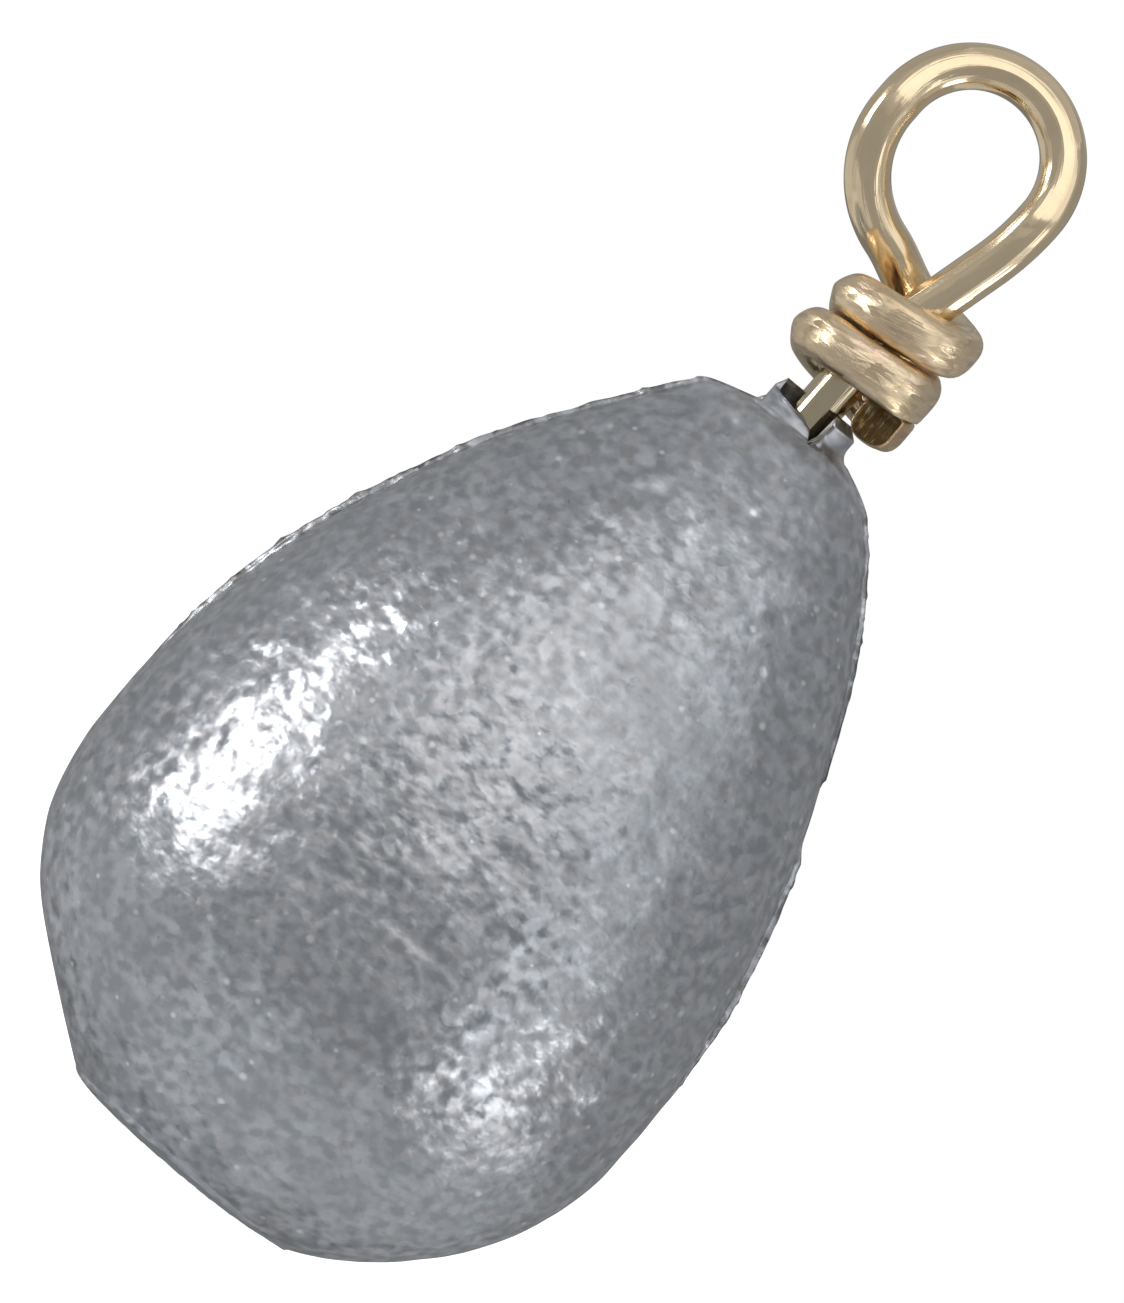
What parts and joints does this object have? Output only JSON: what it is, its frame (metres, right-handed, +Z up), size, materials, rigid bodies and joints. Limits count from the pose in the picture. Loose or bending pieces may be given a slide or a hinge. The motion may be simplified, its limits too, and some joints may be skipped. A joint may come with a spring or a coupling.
{
  "type": "fishing sinker",
  "caption": "Pear-shaped lead casting sinker with a flat base and a free-turning brass wire eye, whose end is wrapped round its own shank above the neck.",
  "frame": {"origin": "centre of the flat base that the sinker stands on", "axes": "+Z up the sinker's axis to the wire eye, +X along the mould's parting plane and the plane of the loop, to the right in the picture, +Y away from its camera"},
  "size_m": [0.015, 0.015, 0.0308],
  "materials": {
    "lead": "rough-cast lead, dull mid grey with fine bright specks",
    "brass_wire": "bright drawn brass wire, lightly tarnished on the wraps"
  },
  "bodies": {
    "sinker": {"lead_body": "lead"},
    "swivel": {"swivel_eye": "brass_wire"}
  },
  "joints": [
    {"name": "swivel_turn", "type": "hinge", "parent": "sinker", "child": "swivel", "pos_m": [0, 0, 0.0185], "axis": [0, 0, 1], "continuous": true}
  ]
}
